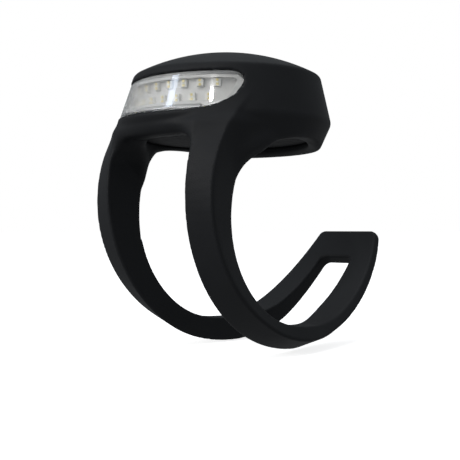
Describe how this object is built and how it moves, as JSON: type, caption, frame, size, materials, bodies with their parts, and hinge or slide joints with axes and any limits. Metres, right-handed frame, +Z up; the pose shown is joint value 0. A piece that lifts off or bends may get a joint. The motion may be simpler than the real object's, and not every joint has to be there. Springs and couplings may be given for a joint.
{
  "type": "bike tail light",
  "caption": "Strap-on silicone bike light: a round head with a wrap-round lens over a hooked ring strap, with a coin-turn battery cover and a press switch.",
  "frame": {"origin": "on the axis of the strap's ring, midway between its two arms", "axes": "+X towards the strap's open end and away from the lens, +Y along the tube the ring holds, +Z up towards the head's domed top"},
  "size_m": [0.0425, 0.0282, 0.0392],
  "materials": {
    "silicone": "matt near-black silicone with a fine bloom",
    "lens_clear": "clear glossy moulded lens",
    "seal_rubber": "dark soft seal",
    "tray_silver": "silver-grey reflective moulding",
    "strip_white": "white flexible circuit strip",
    "led_white": "white LED package",
    "led_yellow": "pale yellow phosphor under clear resin",
    "ribbon_amber": "amber polyimide ribbon",
    "shell_black": "fine-textured black plastic",
    "board_green": "green solder mask",
    "screw_steel": "plain steel",
    "chip_black": "black epoxy",
    "capacitor_tan": "tan ceramic with bright ends",
    "switch_metal": "stamped steel cap",
    "plunger_black": "black nylon",
    "button_grey": "dark grey plastic",
    "contact_nickel": "nickel-plated spring steel",
    "cell_steel": "bright nickel-plated can",
    "foam_grey": "grey closed-cell foam",
    "cover_black": "fine-textured black plastic"
  },
  "bodies": {
    "body": {"silicone_body": "silicone", "lens": "lens_clear", "lens_gasket": "seal_rubber", "reflector_tray": "tray_silver", "led_strip": "strip_white", "leds": "led_white", "led_phosphors": "led_yellow", "ribbon_link": "ribbon_amber", "module_housing": "shell_black", "module_lid": "shell_black", "main_board": "board_green", "board_screws": "screw_steel", "driver_chip": "chip_black", "resistors": "chip_black", "capacitors": "capacitor_tan", "switch_body": "switch_metal", "positive_contact": "contact_nickel", "negative_contact": "contact_nickel", "cell_upper": "cell_steel", "cell_lower": "cell_steel"},
    "cover": {"battery_cover": "cover_black", "cover_seal": "seal_rubber", "cell_cushion": "foam_grey"},
    "button": {"push_button": "button_grey", "switch_plunger": "plunger_black"}
  },
  "joints": [
    {"name": "cover_turn", "type": "hinge", "parent": "body", "child": "cover", "pos_m": [-0.00506, 0, 0.0104], "axis": [0, 0, 1], "range_deg": [0, 40]},
    {"name": "button_press", "type": "slide", "parent": "body", "child": "button", "axis": [0, 0, -1], "range_m": [0, 0.00025], "stiffness_N_per_m": 8000}
  ]
}
